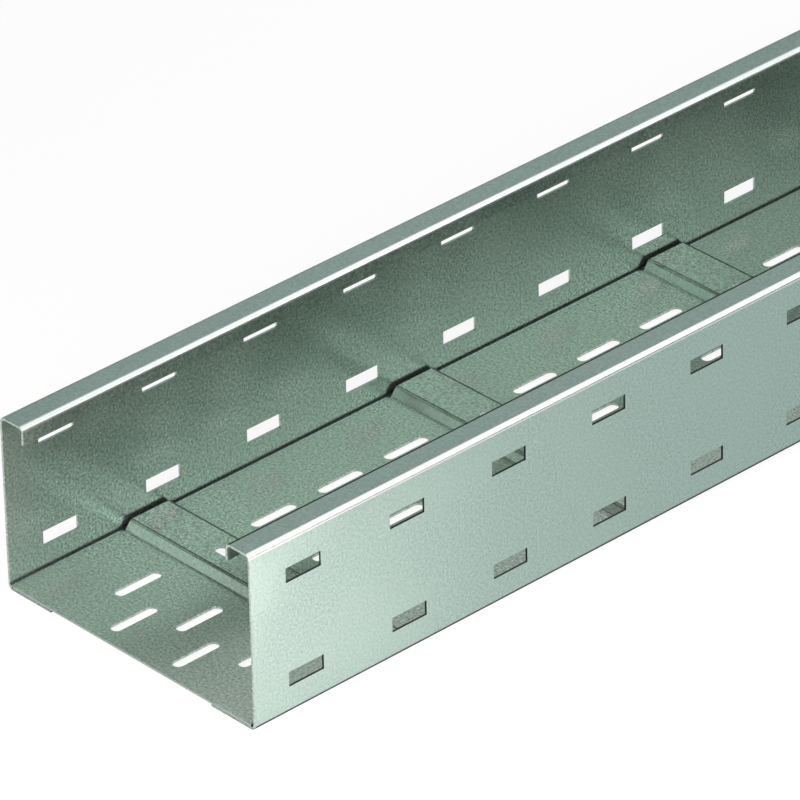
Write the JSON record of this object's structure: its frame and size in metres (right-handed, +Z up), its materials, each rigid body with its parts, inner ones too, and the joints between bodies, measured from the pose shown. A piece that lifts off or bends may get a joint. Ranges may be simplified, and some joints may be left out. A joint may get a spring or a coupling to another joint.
{
  "type": "long-span cable tray",
  "caption": "Long straight steel cable tray: folded side rails with inward lips and slotted walls carry a perforated base plate with raised cross ribs.",
  "frame": {"origin": "middle of the tray's underside, on the plane that the foot flanges rest on", "axes": "+X across the tray to the right, +Y along the tray away from the near end, +Z up"},
  "size_m": [0.2, 3, 0.11],
  "materials": {
    "galvanised_steel": "galvanised sheet, satin, with a fine grain and bright folds"
  },
  "bodies": {
    "root": {"left_side_rail": "galvanised_steel", "right_side_rail": "galvanised_steel", "base_plate": "galvanised_steel"}
  },
  "joints": []
}
